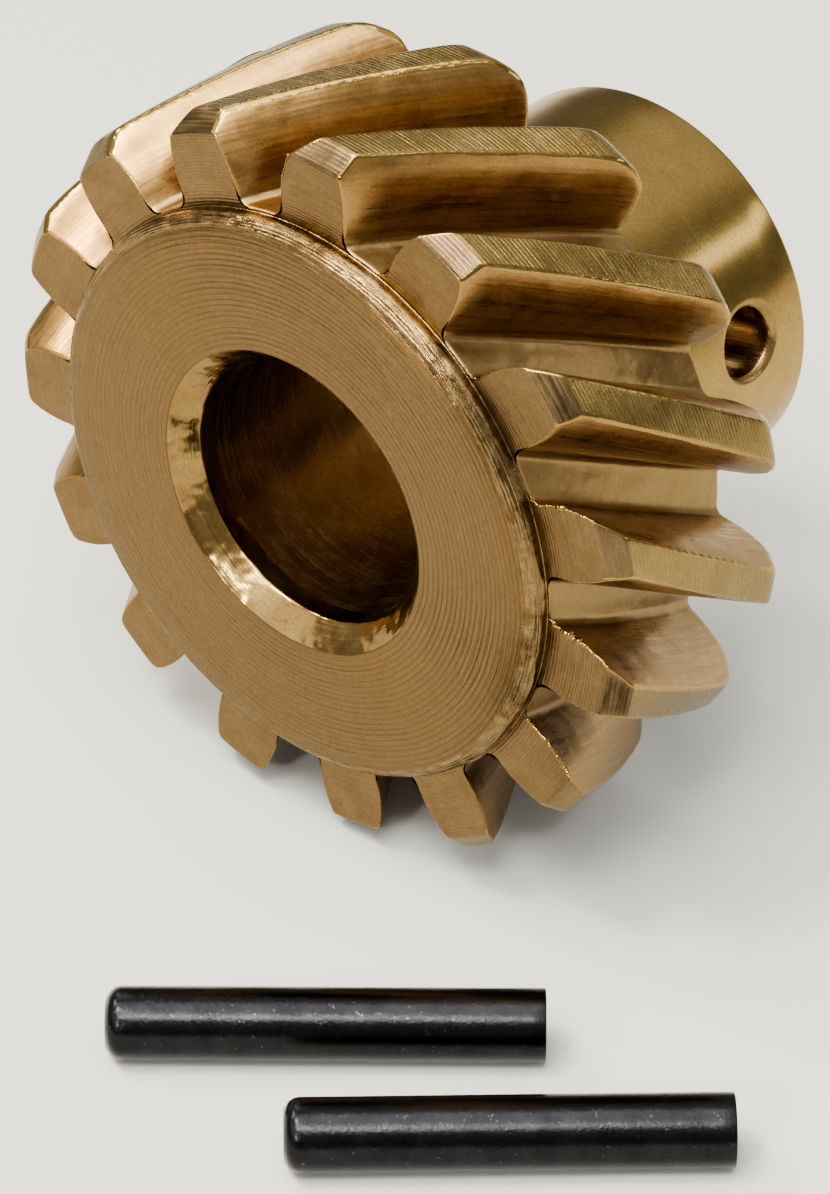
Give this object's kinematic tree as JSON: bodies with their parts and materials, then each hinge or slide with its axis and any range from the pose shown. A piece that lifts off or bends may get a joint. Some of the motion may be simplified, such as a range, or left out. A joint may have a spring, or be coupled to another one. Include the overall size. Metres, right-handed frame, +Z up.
{
  "type": "helical drive gear with spring pins",
  "caption": "Bronze helical drive gear with a raised boss face and a plain hub cross-drilled for a pin, lying beside its slotted steel spring pins.",
  "frame": {"origin": "on the shaft bore's axis, halfway between the boss face and the hub end", "axes": "+Y along the bore from the boss face to the hub end, +Z up with the gear lying on its teeth"},
  "size_m": [0.0482, 0.0433, 0.036],
  "materials": {
    "bronze": "machined, satin, with turning and milling marks",
    "black_steel": "black oxide, satin"
  },
  "bodies": {
    "gear": {"helical_gear": "bronze"},
    "rear_pin": {"spring_pin_rear": "black_steel"},
    "front_pin": {"spring_pin_front": "black_steel"}
  },
  "joints": [
    {"name": "rear_pin_lift", "type": "slide", "parent": "gear", "child": "rear_pin", "axis": [0, 0, 1], "range_m": [0, 0.045]},
    {"name": "front_pin_lift", "type": "slide", "parent": "gear", "child": "front_pin", "axis": [0, 0, 1], "range_m": [0, 0.045]}
  ]
}
